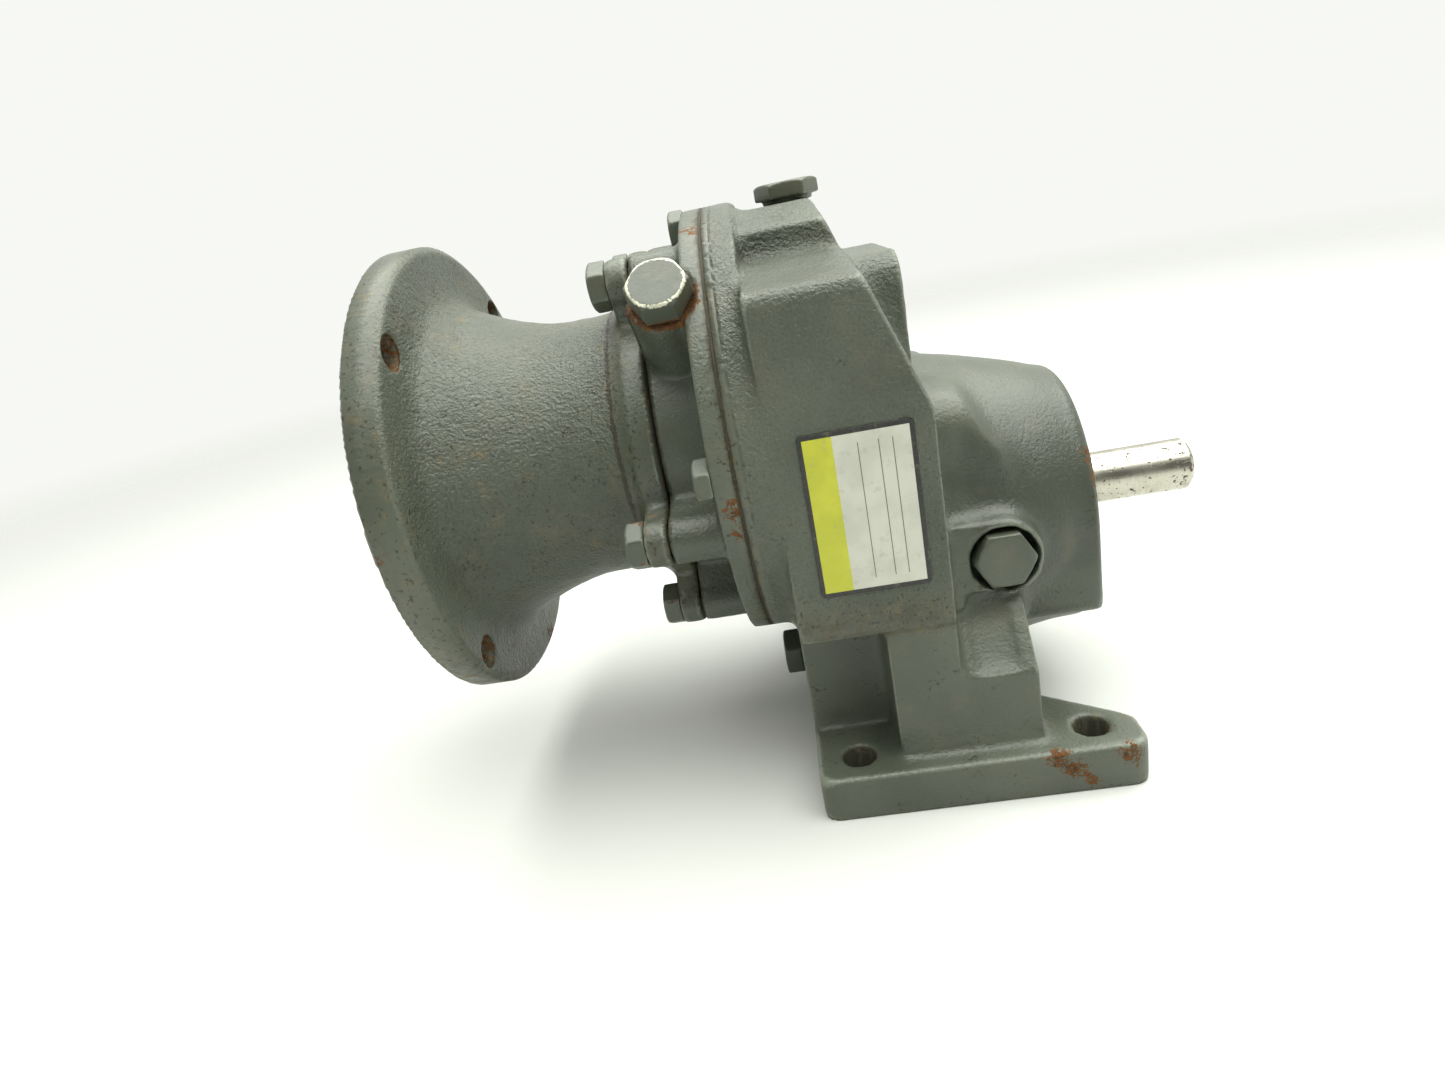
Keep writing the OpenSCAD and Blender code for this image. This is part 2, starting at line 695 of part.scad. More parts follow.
module output_shaft() {
    seat_r = 12.49;
    seal_r = 10;
    end_r = out_shaft_d / 2;
    x_front_end = x_out_front_brg + brg_25[2];
    color(steel) difference() {
        turned_x(out_h) polygon([
            [0, -45], [9, -45], [10, -44], [10, x_gear - 1.3], [9.4, x_gear - 1.3], [9.4, x_gear],
            [10, x_gear], [10, x_out_rear_brg], [seat_r, x_out_rear_brg], [seat_r, x_out_rear_brg + brg_25[2]],
            [14.5, x_out_rear_brg + brg_25[2]], [14.5, x_out_front_brg], [seat_r, x_out_front_brg],
            [seat_r, x_front_end], [seal_r, x_front_end + 1],
            [seal_r, x_hub_boss + 0.6], [end_r, x_hub_boss + 0.6],
            [end_r, x_shaft_end - 1.5], [end_r - 1.5, x_shaft_end], [0, x_shaft_end]
        ]);
        key_block(x_gear + 1, x_gear + gear_w - 1, 7.6, 12.3, out_h, 0.03);
        translate([x_shaft_end - 25.4, end_r - 2.4, out_h - key_w / 2]) cube([30, 10, key_w]);
    }
}

module input_pinion_shaft() {
    quill_r = 14.99;
    x_quill_end = -164;
    x_collar = x_in_front_brg + brg_30[2];
    color(steel) {
        difference() {
            turned_x(in_h) polygon([
                [0, x_quill_end], [quill_r - 1, x_quill_end], [quill_r, x_quill_end + 1],
                [quill_r, x_in_front_brg - 1.3], [14.3, x_in_front_brg - 1.3], [14.3, x_in_front_brg],
                [quill_r, x_in_front_brg], [quill_r, x_collar], [18, x_collar], [18, x_collar + 3],
                [10, x_collar + 3], [10, x_pinion - 3], [6.1, x_pinion], [0, x_pinion]
            ]);
            rod_x(x_quill_end - 1, x_quill_end + 50, motor_bore_d / 2, in_h);
            translate([x_quill_end - 1, -key_w / 2, in_h]) cube([46, key_w, motor_bore_d / 2 + 2.4]);
        }
        teeth_x(x_pinion, pinion_w, pinion_teeth, profile_shift, -90, -1, 10, in_h);
        rod_x(x_pinion + pinion_w, x_in_rear_brg + brg_12[2] - 0.3, brg_12[0] - 0.01, in_h);
    }
}

module input_bearing_snap_ring() {
    color(dark_steel) snap_ring(x_in_front_brg - 1.25, x_in_front_brg - eps, 14.35, 17.4, in_h, 8);
}

housing();
input_cover();
motor_adapter();
cover_gasket();
adapter_gasket();
cover_screws();
adapter_screws();
dowel_pins();
breather_plug();
fill_plug();
level_plug();
drain_plug();
nameplate();
output_oil_seal();
output_bearing_snap_ring();
input_oil_seal();
output_front_outer_race();
output_front_inner_race();
output_front_cage();
output_front_balls();
output_rear_outer_race();
output_rear_inner_race();
output_rear_cage();
output_rear_balls();
input_front_outer_race();
input_front_inner_race();
input_front_cage();
input_front_balls();
input_rear_outer_race();
input_rear_inner_race();
input_rear_cage();
input_rear_balls();
output_shaft();
output_gear();
gear_key();
gear_spacer();
gear_snap_ring();
input_pinion_shaft();
input_bearing_snap_ring();
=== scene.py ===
"""Looks for the foot-mounted inline gear reducer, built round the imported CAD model.

The castings and the painted screws and plugs are remeshed copies of their CAD nodes, with rounded
corners, cast grain and painted dirt. The machined parts keep their CAD meshes and get materials.
Lengths in this script are in millimetres until they meet Blender, which works in metres.
"""

import itertools
import math

import bpy
import numpy as np
from mathutils import Euler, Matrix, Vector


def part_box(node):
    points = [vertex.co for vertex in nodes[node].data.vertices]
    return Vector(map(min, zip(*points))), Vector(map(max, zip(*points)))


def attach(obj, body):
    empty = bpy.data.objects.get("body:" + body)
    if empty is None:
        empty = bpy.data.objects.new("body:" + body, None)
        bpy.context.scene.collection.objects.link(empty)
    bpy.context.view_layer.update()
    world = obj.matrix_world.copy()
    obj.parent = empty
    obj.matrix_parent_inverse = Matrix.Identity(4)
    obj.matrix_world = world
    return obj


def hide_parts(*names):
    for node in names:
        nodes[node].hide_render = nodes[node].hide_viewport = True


MM = 0.001

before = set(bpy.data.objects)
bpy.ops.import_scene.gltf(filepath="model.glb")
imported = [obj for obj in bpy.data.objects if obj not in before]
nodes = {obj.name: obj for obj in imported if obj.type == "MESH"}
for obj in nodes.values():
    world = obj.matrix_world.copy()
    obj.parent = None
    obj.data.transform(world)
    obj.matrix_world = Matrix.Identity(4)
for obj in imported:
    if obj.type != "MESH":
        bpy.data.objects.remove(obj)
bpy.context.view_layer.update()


# ---------- numbers taken from the CAD nodes ----------


def corners(node):
    """Lowest and highest corner of a CAD node, in millimetres."""
    low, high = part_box(node)
    return np.array(low) / MM, np.array(high) / MM


SCREW_HEAD_H = 6.2
FLANGE_T = 12.7
COLLAR_T = 5.2

COVER_LOW, COVER_HIGH = corners("cover_gasket")
PLATE_LOW, PLATE_HIGH = corners("adapter_gasket")
GEAR_LOW, GEAR_HIGH = corners("output_gear")
LABEL_LOW, LABEL_HIGH = corners("nameplate")
FILL_LOW, FILL_HIGH = corners("fill_plug")
LEVEL_LOW, LEVEL_HIGH = corners("level_plug")
IN_H = (COVER_LOW[2] + COVER_HIGH[2]) / 2
OUT_H = GEAR_LOW[2] / 2 + GEAR_HIGH[2] / 2
X_FILL = (FILL_LOW[0] + FILL_HIGH[0]) / 2
X_LEVEL = (LEVEL_LOW[0] + LEVEL_HIGH[0]) / 2
X_HUB_END = corners("housing")[1][0]
X_FLANGE_FACE = corners("motor_adapter")[0][0]
X_FLANGE_BACK = X_FLANGE_FACE + FLANGE_T
X_PLATE_FRONT = corners("adapter_screws")[0][0] + SCREW_HEAD_H
SHAFT_END = corners("output_shaft")[1][0]

# Where dark lines run along the casting joints: place along X and half width
SEAM_LINES = [(X_PLATE_FRONT - COLLAR_T, 1.3), (COVER_LOW[0], 0.5), (COVER_HIGH[0], 0.5)]


# ---------- number fields on a mesh ----------


def value_noise(points, cell, seed):
    """Smooth random values from -1 to 1 at the points, with about one swing per cell."""
    side = 64
    lattice = np.random.default_rng(seed).uniform(-1, 1, (side, side, side))
    scaled = points / cell
    base = np.floor(scaled).astype(int)
    share = scaled - base
    share = share * share * (3 - 2 * share)
    total = np.zeros(len(points))
    for corner in itertools.product((0, 1), repeat=3):
        weight = np.prod(np.where(corner, share, 1 - share), axis=1)
        i = (base + corner) % side
        total += weight * lattice[i[:, 0], i[:, 1], i[:, 2]]
    return total


def step(value, low, high):
    """0 below low, 1 above high, and smooth between. low may be the larger one."""
    t = np.clip((value - low) / (high - low), 0, 1)
    return t * t * (3 - 2 * t)


def near_point(points, centre, radius):
    """1 at the centre, falling to 0 at the radius."""
    return step(np.linalg.norm(points - np.array(centre), axis=1), radius, 0.3 * radius)


def neighbours_mean(points, edges, degree):
    """The mean of each point's neighbours along the edges."""
    total = np.empty_like(points)
    for axis in range(points.shape[1]):
        total[:, axis] = np.bincount(edges[:, 0], points[edges[:, 1], axis], len(points))
        total[:, axis] += np.bincount(edges[:, 1], points[edges[:, 0], axis], len(points))
    return total / degree


def smoothed(points, edges, rounds, weight=1.0):
    """The points after rounds of moving halfway to their neighbours' mean, less where weight is small."""
    degree = np.maximum(np.bincount(edges.ravel(), minlength=len(points)), 1)[:, None]
    for _ in range(rounds):
        points = points + 0.5 * weight * (neighbours_mean(points, edges, degree) - points)
    return points


# ---------- meshes ----------


def read_points(mesh):
    """The mesh's points in millimetres."""
    flat = np.empty(len(mesh.vertices) * 3, np.float32)
    mesh.vertices.foreach_get("co", flat)
    return flat.reshape(-1, 3).astype(float) / MM


def write_points(mesh, points):
    mesh.vertices.foreach_set("co", (points * MM).astype(np.float32).ravel())
    mesh.update()


def read_normals(mesh):
    flat = np.empty(len(mesh.vertices) * 3, np.float32)
    mesh.vertices.foreach_get("normal", flat)
    return flat.reshape(-1, 3).astype(float)


def read_edges(mesh):
    flat = np.empty(len(mesh.edges) * 2, np.int32)
    mesh.edges.foreach_get("vertices", flat)
    return flat.reshape(-1, 2)


def write_field(mesh, name, values):
    """Stores one number per point, for a material's Attribute node."""
    field = mesh.attributes.new(name, "FLOAT", "POINT")
    field.data.foreach_set("value", np.asarray(values, np.float32))


def applied(piece):
    """Replaces the piece's mesh with what its modifiers make of it."""
    depsgraph = bpy.context.evaluated_depsgraph_get()
    depsgraph.update()
    mesh = bpy.data.meshes.new_from_object(
        piece.evaluated_get(depsgraph), preserve_all_data_layers=True, depsgraph=depsgraph
    )
    piece.modifiers.clear()
    piece.data = mesh
    return mesh


def remeshed_copy(node, name, voxel):
    """A new object with the node's shape in even quads of the voxel size."""
    piece = bpy.data.objects.new(name, nodes[node].data.copy())
    bpy.context.scene.collection.objects.link(piece)
    piece.data.materials.clear()
    remesh = piece.modifiers.new("remesh", "REMESH")
    remesh.mode = "VOXEL"
    remesh.voxel_size = voxel * MM
    applied(piece)
    return piece


def thinned(piece, faces):
    """Collapses the piece's mesh to about this many triangles, with smooth shading."""
    count = sum(len(p.vertices) - 2 for p in piece.data.polygons)
    if count > faces:
        thin = piece.modifiers.new("thin", "DECIMATE")
        thin.ratio = faces / count
        applied(piece)
    piece.data.shade_smooth()


# ---------- machined faces, which stay true when a casting is smoothed ----------


def round_face(axis, centre, radius, low, high):
    """A machined cylinder along an axis: centre is its place in the other two axes."""
    return {"kind": "round", "axis": axis, "centre": centre, "radius": radius, "span": (low, high)}


def flat_face(axis, value, centre, radius):
    """A machined disc square to an axis."""
    return {"kind": "flat", "axis": axis, "value": value, "centre": centre, "radius": radius}


def true_up(points, faces, reach):
    """Moves points within reach of a machined face onto it. Returns the points and which ones moved."""
    points = points.copy()
    hit = np.zeros(len(points), bool)
    for face in faces:
        others = [a for a in range(3) if a != face["axis"]]
        offset = points[:, others] - np.array(face["centre"])
        radius = np.linalg.norm(offset, axis=1)
        along = points[:, face["axis"]]
        if face["kind"] == "round":
            low, high = face["span"]
            near = (abs(radius - face["radius"]) < reach) & (along > low) & (along < high)
            scale = face["radius"] / np.maximum(radius[near], 1e-6)
            moved = np.array(face["centre"]) + offset[near] * scale[:, None]
            points[np.ix_(near, others)] = moved
        else:
            near = (abs(along - face["value"]) < reach) & (radius < face["radius"])
            points[near, face["axis"]] = face["value"]
        hit |= near
    return points, hit


RIM_R = 76.2
FLANGE_R = 82.55
FLANGE_BOLT_CIRCLE_R = 74.61
REGISTER_R = 57.15
REGISTER_DEPTH = 4.8
HUB_BORE_R = 26.05
HUB_BOSS_R = 29.3
FOOT_BOLT_X = 38.1
FOOT_BOLT_Y = 68.26
BOLT_HOLE_R = 5.56
FOOT_T = 15.9
TRUE_UP_REACH = 0.75

FOOT_HOLES = [(sx * FOOT_BOLT_X, sy * FOOT_BOLT_Y) for sx in (-1, 1) for sy in (-1, 1)]
HOUSING_FACES = [
    flat_face(2, 0.0, (0, 0), 200),
    flat_face(0, X_HUB_END, (0, OUT_H), HUB_BOSS_R),
    round_face(0, (0, OUT_H), HUB_BORE_R, -0.5, X_HUB_END - 0.8),
    flat_face(0, COVER_HIGH[0], (0, IN_H), RIM_R + 0.5),
    round_face(0, (0, IN_H), RIM_R, COVER_HIGH[0] - 0.5, COVER_HIGH[0] + 2.5),
] + [
    round_face(2, hole, BOLT_HOLE_R, 0.5, FOOT_T - 0.7)
    for hole in FOOT_HOLES
]
FLANGE_HOLES = [
    (
        FLANGE_BOLT_CIRCLE_R * math.cos(math.radians(angle)),
        IN_H + FLANGE_BOLT_CIRCLE_R * math.sin(math.radians(angle)),
    )
    for angle in (45, 135, 225, 315)
]
ADAPTER_FACES = [
    flat_face(0, X_FLANGE_FACE, (0, IN_H), 81.5),
    flat_face(0, X_FLANGE_FACE + REGISTER_DEPTH, (0, IN_H), REGISTER_R - 0.65),
    round_face(0, (0, IN_H), REGISTER_R, X_FLANGE_FACE + 0.6, X_FLANGE_FACE + REGISTER_DEPTH - 0.4),
    round_face(0, (0, IN_H), FLANGE_R, X_FLANGE_FACE + 1.0, X_FLANGE_BACK - 1.5),
    flat_face(0, PLATE_LOW[0], (0, IN_H), RIM_R),
] + [
    round_face(0, hole, BOLT_HOLE_R, X_FLANGE_FACE + 0.6, X_FLANGE_BACK - 0.6)
    for hole in FLANGE_HOLES
]
COVER_FACES = [
    flat_face(0, COVER_LOW[0], (0, IN_H), RIM_R + 0.5),
    round_face(0, (0, IN_H), RIM_R, COVER_LOW[0] - 2.5, COVER_LOW[0] + 0.5),
    flat_face(0, PLATE_HIGH[0], (0, IN_H), RIM_R),
]


def casting(node, voxel, faces, fillet_rounds, triangles, keep_sharp, melt, grit, dirt, seed):
    """A cast copy of a CAD node: soft corners, larger fillets in the hollows, grain, and fields for dirt and
    painted shade.

    keep_sharp gives 0 to 1 per point, where 1 holds the large fillets back. melt is 1 where faces
    blend into each other. grit gives how rough the sand-cast skin is. dirt gives the fields for dirt,
    rust, wear and painted shade (in the hollows, and darker paint on the hub) from the points and the
    relief.
    """
    piece = remeshed_copy(node, "cast_" + node, voxel)
    mesh = piece.data
    edges = read_edges(mesh)
    points = smoothed(read_points(mesh), edges, 3)
    points = smoothed(points, edges, 90, melt(points)[:, None])
    write_points(mesh, points)
    normals = read_normals(mesh)
    open_share = (1 - keep_sharp(points))[:, None]
    filled = smoothed(points, edges, fillet_rounds, open_share)
    lift = np.einsum("ij,ij->i", filled - points, normals)
    points = points + normals * np.maximum(lift, 0)[:, None]
    points = smoothed(points, edges, 2)
    broad = smoothed(points, edges, 24)
    relief = np.einsum("ij,ij->i", broad - points, normals)
    points, machined = true_up(points, faces, TRUE_UP_REACH)
    rough = (1 - machined.astype(float)) * grit(points)
    grain = 0.12 * value_noise(points, 4.5, seed) + 0.10 * value_noise(points, 2.1, seed + 1)
    points = points + normals * (grain * rough)[:, None]
    write_points(mesh, points)
    write_field(mesh, "relief", np.clip(relief / 1.2, -1, 1) * (1 - machined))
    write_field(mesh, "grit", rough)
    for name, values in dirt(points, relief).items():
        write_field(mesh, name, np.clip(values, 0, 1))
    thinned(piece, triangles)
    return piece


# ---------- materials ----------


class Finish:
    """A material with short calls for the nodes that this script uses."""

    def __init__(self, name):
        self.material = bpy.data.materials.new(name)
        self.material.use_nodes = True
        tree = self.material.node_tree
        tree.nodes.clear()
        self.nodes = tree.nodes
        self.links = tree.links
        self.shader = self.nodes.new("ShaderNodeBsdfPrincipled")
        self.output = self.nodes.new("ShaderNodeOutputMaterial")
        self.links.new(self.shader.outputs["BSDF"], self.output.inputs["Surface"])
        self.place = self.nodes.new("ShaderNodeTexCoord").outputs["Object"]

    def put(self, socket, value):
        """Links an output to the socket, or sets the socket to a plain value."""
        if isinstance(value, bpy.types.NodeSocket):
            self.links.new(value, socket)
        elif isinstance(value, tuple) and len(value) == 3 and socket.type == "RGBA":
            socket.default_value = (*value, 1)
        else:
            socket.default_value = value

    def set(self, **values):
        """Sets the shader's own sockets. base_color means Base Color."""
        names = {s.name.lower().replace(" ", "_"): s for s in self.shader.inputs}
        for key, value in values.items():
            self.put(names[key], value)
        return self

    def noise(self, cell, detail=2.0, roughness=0.5, place=None):
        """Noise from 0 to 1 whose features are about cell millimetres wide."""
        node = self.nodes.new("ShaderNodeTexNoise")
        self.put(node.inputs["Vector"], place or self.place)
        node.inputs["Scale"].default_value = 1 / (cell * MM)
        node.inputs["Detail"].default_value = detail
        node.inputs["Roughness"].default_value = roughness
        return node.outputs[0]

    def field(self, name):
        node = self.nodes.new("ShaderNodeAttribute")
        node.attribute_name = name
        return node.outputs["Fac"]

    def math(self, what, a, b=0.0, c=0.0):
        node = self.nodes.new("ShaderNodeMath")
        node.operation = what
        for socket, value in zip(node.inputs, (a, b, c)):
            self.put(socket, value)
        return node.outputs[0]

    def between(self, value, low, high, to_low=0.0, to_high=1.0):
        """Maps low to high onto to_low to to_high, smoothly and clamped."""
        node = self.nodes.new("ShaderNodeMapRange")
        node.interpolation_type = "SMOOTHSTEP"
        for socket, v in zip(node.inputs, (value, low, high, to_low, to_high)):
            self.put(socket, v)
        return node.outputs[0]

    def mix(self, share, a, b):
        """Colour a where share is 0 and b where it is 1."""
        node = self.nodes.new("ShaderNodeMix")
        node.data_type = "RGBA"
        self.put(node.inputs[0], share)
        self.put(node.inputs[6], a)
        self.put(node.inputs[7], b)
        return node.outputs[2]

    def axis(self, name):
        """One coordinate of the place, in metres."""
        node = self.nodes.new("ShaderNodeSeparateXYZ")
        self.put(node.inputs[0], self.place)
        return node.outputs[name]

    def stretched(self, x, y, z):
        """The place with each axis scaled, so that noise runs in streaks."""
        node = self.nodes.new("ShaderNodeMapping")
        self.put(node.inputs["Vector"], self.place)
        node.inputs["Scale"].default_value = (x, y, z)
        return node.outputs[0]

    def bump(self, height, depth, strength=1.0, below=None):
        """A bump of depth millimetres on the shader's normal, on top of an earlier bump."""
        node = self.nodes.new("ShaderNodeBump")
        node.inputs["Strength"].default_value = strength
        node.inputs["Distance"].default_value = depth * MM
        self.put(node.inputs["Height"], height)
        if below is not None:
            self.put(node.inputs["Normal"], below)
        self.put(self.shader.inputs["Normal"], node.outputs[0])
        return node.outputs[0]


PAINT = (0.079, 0.091, 0.066)
PAINT_LIGHT = (0.118, 0.133, 0.100)
# Darker paint, also used as painted shade on the hub.
PAINT_DARK_AND_SHADE = (0.046, 0.054, 0.040)
# Pale edge colour: worn paint and painted edge highlight.
PAINT_WORN_AND_LIT = (0.22, 0.24, 0.19)
DUST = (0.135, 0.118, 0.075)
STAIN = (0.105, 0.096, 0.056)
# Dark colour for dirt and for painted shade in the hollows.
GRIME_AND_SHADE = (0.044, 0.041, 0.026)
RUST = (0.050, 0.029, 0.015)
RUST_LIGHT = (0.155, 0.068, 0.024)
OCHRE = (0.165, 0.128, 0.060)
SOOT = (0.024, 0.020, 0.012)
PRIMER = (0.60, 0.60, 0.46)


def dirt_marks(f, colour):
    """Ochre stains, small dark specks and the broken dark lines along the casting joints."""
    ochre = f.between(f.noise(5, 4.0, 0.7), 0.5, 0.72)
    stained = f.math("MULTIPLY", ochre, f.between(f.field("grime_and_shade"), 0.12, 0.55))
    colour = f.mix(f.math("MULTIPLY", stained, 0.7), colour, OCHRE)
    dots = f.between(f.noise(1.5, 2.0, 0.55), 0.60, 0.66)
    cloud = f.math("ADD", f.noise(12, 2.0), f.math("MULTIPLY", f.field("grime_and_shade"), 0.5))
    dots = f.math("MULTIPLY", dots, f.between(cloud, 0.5, 0.7))
    colour = f.mix(f.math("MULTIPLY", dots, 0.8), colour, SOOT)
    x = f.math("DIVIDE", f.axis("X"), MM)
    wobble = f.between(f.noise(4, 4.0, 0.7), 0.3, 0.7, 0.3, 1.0)
    for place, width in SEAM_LINES:
        away = f.math("ABSOLUTE", f.math("SUBTRACT", x, place))
        inside = f.math("SUBTRACT", f.math("MULTIPLY", wobble, width), away)
        colour = f.mix(f.between(inside, 0.0, 0.2, 0.0, 0.85), colour, SOOT)
    return colour


def painted(name, cast):
    """Grey machine paint: rough on castings, smoother on screws, with dirt, rust, painted shade in the
    hollows and on the hub, and pale edges that are partly worn paint and partly painted highlight.
    """
    f = Finish(name)
    broad = f.noise(38, 3.0)
    fine = f.noise(3.2, 3.0, 0.6)
    speck = f.noise(0.95, 2.0, 0.6)
    colour = f.mix(f.between(broad, 0.3, 0.7), PAINT_DARK_AND_SHADE, PAINT_LIGHT)
    colour = f.mix(0.6, colour, PAINT)
    # Painted shade: the hub is darkened towards the dark paint colour.
    colour = f.mix(f.math("MULTIPLY", f.field("hub_shade"), 0.9), colour, PAINT_DARK_AND_SHADE)
    pits = f.between(speck, 0.46, 0.30)
    crests = f.between(speck, 0.54, 0.70)
    grit = f.field("grit") if cast else 0.3
    colour = f.mix(f.math("MULTIPLY", pits, f.math("MULTIPLY", grit, 0.5)), colour, PAINT_DARK_AND_SHADE)
    colour = f.mix(f.math("MULTIPLY", crests, f.math("MULTIPLY", grit, 0.35)), colour, PAINT_LIGHT)
    dusty = f.between(f.noise(17, 4.0, 0.65), 0.52, 0.72)
    colour = f.mix(f.math("MULTIPLY", dusty, 0.3), colour, DUST)
    # Painted shade with dirt in the hollows: colour darkened where the relief is concave.
    hollow = f.between(f.field("relief"), 0.08, 0.6)
    worn = f.between(f.math("ADD", f.field("relief"), f.math("MULTIPLY", speck, 0.3)), -0.25, -0.6)
    colour = f.mix(f.math("MULTIPLY", hollow, 0.5), colour, GRIME_AND_SHADE)
    # Convex edges lightened: partly worn paint, partly painted edge highlight.
    colour = f.mix(f.math("MULTIPLY", worn, 0.6), colour, PAINT_WORN_AND_LIT)
    # Stains and dirt; their field also holds painted shade in hollows, in the foot's bolt holes and on the
    # lower flange.
    dirt = f.math("ADD", f.field("grime_and_shade"), f.math("MULTIPLY", f.math("SUBTRACT", fine, 0.5), 1.1))
    dirty = f.math("MULTIPLY", f.between(dirt, 0.3, 0.95), f.between(f.field("grime_and_shade"), 0.02, 0.25))
    colour = f.mix(f.math("MULTIPLY", dirty, 0.8), colour, f.mix(f.field("grime_and_shade"), STAIN, GRIME_AND_SHADE))
    if cast:
        colour = dirt_marks(f, colour)
    eaten = f.math("ADD", f.field("rust"), f.math("MULTIPLY", f.math("SUBTRACT", speck, 0.5), 2.2))
    eaten = f.math("ADD", eaten, f.math("MULTIPLY", f.math("SUBTRACT", fine, 0.5), 1.6))
    rusty = f.math("MULTIPLY", f.between(eaten, 0.5, 0.72), f.between(f.field("rust"), 0.05, 0.3))
    colour = f.mix(rusty, colour, f.mix(f.between(speck, 0.35, 0.65), RUST, RUST_LIGHT))
    chipped = f.math("ADD", f.field("wear"), f.math("MULTIPLY", f.math("SUBTRACT", speck, 0.5), 1.4))
    bald = f.math("MULTIPLY", f.between(chipped, 0.5, 0.7), f.between(f.field("wear"), 0.02, 0.2))
    colour = f.mix(bald, colour, PRIMER)
    gloss = f.between(broad, 0.2, 0.8, 0.31, 0.42)
    rough = f.math("ADD", gloss, f.math("MULTIPLY", f.math("MAXIMUM", rusty, dirty), 0.35))
    f.set(base_color=colour, roughness=rough, specular_ior_level=f.between(rusty, 0, 1, 0.5, 0.15))
    if cast:
        depth = f.math("ADD", f.math("MULTIPLY", grit, 0.85), 0.15)
        coarse = f.math("MULTIPLY", f.noise(1.35, 3.0, 0.6), depth)
        below = f.bump(coarse, 0.75, 1.0)
        f.bump(f.math("MULTIPLY", speck, depth), 0.45, 1.0, below)
    else:
        below = f.bump(fine, 0.25, 0.6)
        f.bump(speck, 0.12, 0.6, below)
    return f.material


def steel(name, colour, shade, roughness, streaks, metallic=1.0):
    """Bare steel with fine tool marks. streaks scales the place, so that the marks run one way."""
    f = Finish(name)
    marks = f.noise(0.8, 2.0, 0.6, f.stretched(*streaks))
    cloud = f.noise(14, 3.0)
    stain = f.between(f.noise(3.5, 3.0, 0.6), 0.60, 0.72)
    tint = f.mix(f.between(marks, 0.3, 0.7), shade, colour)
    tint = f.mix(f.math("MULTIPLY", f.between(cloud, 0.4, 0.7), 0.3), tint, shade)
    tint = f.mix(f.math("MULTIPLY", stain, 0.35), tint, RUST)
    sheen = f.between(cloud, 0.3, 0.7, roughness, roughness + 0.12)
    f.set(base_color=tint, roughness=sheen, metallic=metallic)
    f.bump(marks, 0.02, 0.5)
    return f.material


def output_shaft_steel():
    """Ground shaft steel with turning marks, faint oil stains and small rust pits."""
    f = Finish("shaft_steel")
    rings = f.noise(0.5, 2.0, 0.6, f.stretched(1, 0.06, 0.06))
    cloud = f.noise(11, 3.0)
    tip = f.between(f.axis("X"), (SHAFT_END - 14) * MM, (SHAFT_END - 1) * MM, 0.0, 0.07)
    pits = f.between(f.math("ADD", f.noise(1.9, 3.0, 0.62), tip), 0.62, 0.66)
    specks = f.between(f.noise(1.0, 2.0, 0.5), 0.67, 0.71)
    blotch = f.math("MULTIPLY", f.between(f.noise(6, 3.0), 0.52, 0.7), 0.5)
    tint = f.mix(f.between(rings, 0.2, 0.8), (0.46, 0.445, 0.38), (0.54, 0.525, 0.45))
    tint = f.mix(blotch, tint, (0.32, 0.29, 0.22))
    spotted = f.math("MAXIMUM", pits, specks)
    tint = f.mix(f.math("MULTIPLY", spotted, 0.85), tint, RUST)
    sheen = f.between(cloud, 0.3, 0.7, 0.28, 0.36)
    f.set(
        base_color=tint,
        metallic=f.math("SUBTRACT", 1.0, f.math("MULTIPLY", spotted, 0.8)),
        roughness=f.math("ADD", sheen, f.math("MULTIPLY", spotted, 0.4)),
    )
    below = f.bump(rings, 0.004, 0.5)
    f.bump(f.math("SUBTRACT", 1.0, spotted), 0.05, 0.6, below)
    return f.material


def dull(name, low, high, cell, roughness, depth):
    """A soft or fibrous surface: two colours in a fine noise, with a matching bump."""
    f = Finish(name)
    grain = f.noise(cell, 4.0, 0.65)
    cloud = f.noise(cell * 12, 2.0)
    tint = f.mix(f.between(grain, 0.3, 0.7), low, high)
    tint = f.mix(f.math("MULTIPLY", f.between(cloud, 0.4, 0.7), 0.35), tint, low)
    f.set(base_color=tint, roughness=f.between(cloud, 0.3, 0.7, roughness, roughness + 0.1))
    f.bump(grain, depth, 0.7)
    return f.material


def seam_dirt(points, places, width):
    """Grime that thickens towards joint planes square to X."""
    total = np.zeros(len(points))
    for x in places:
        total = np.maximum(total, step(abs(points[:, 0] - x), width, 0.2 * width))
    return total


def hole_walls(points, holes, axis):
    """1 on the walls of bolt holes along an axis, fading just outside them."""
    others = [a for a in range(3) if a != axis]
    total = np.zeros(len(points))
    for hole in holes:
        radius = np.linalg.norm(points[:, others] - np.array(hole), axis=1)
        total = np.maximum(total, step(radius, 6.6, 5.7))
    return total


def spots(points, places):
    """The strongest of some round spots, each (x, y, z, radius, strength)."""
    total = np.zeros(len(points))
    for x, y, z, radius, strength in places:
        total = np.maximum(total, strength * near_point(points, (x, y, z), radius))
    return total


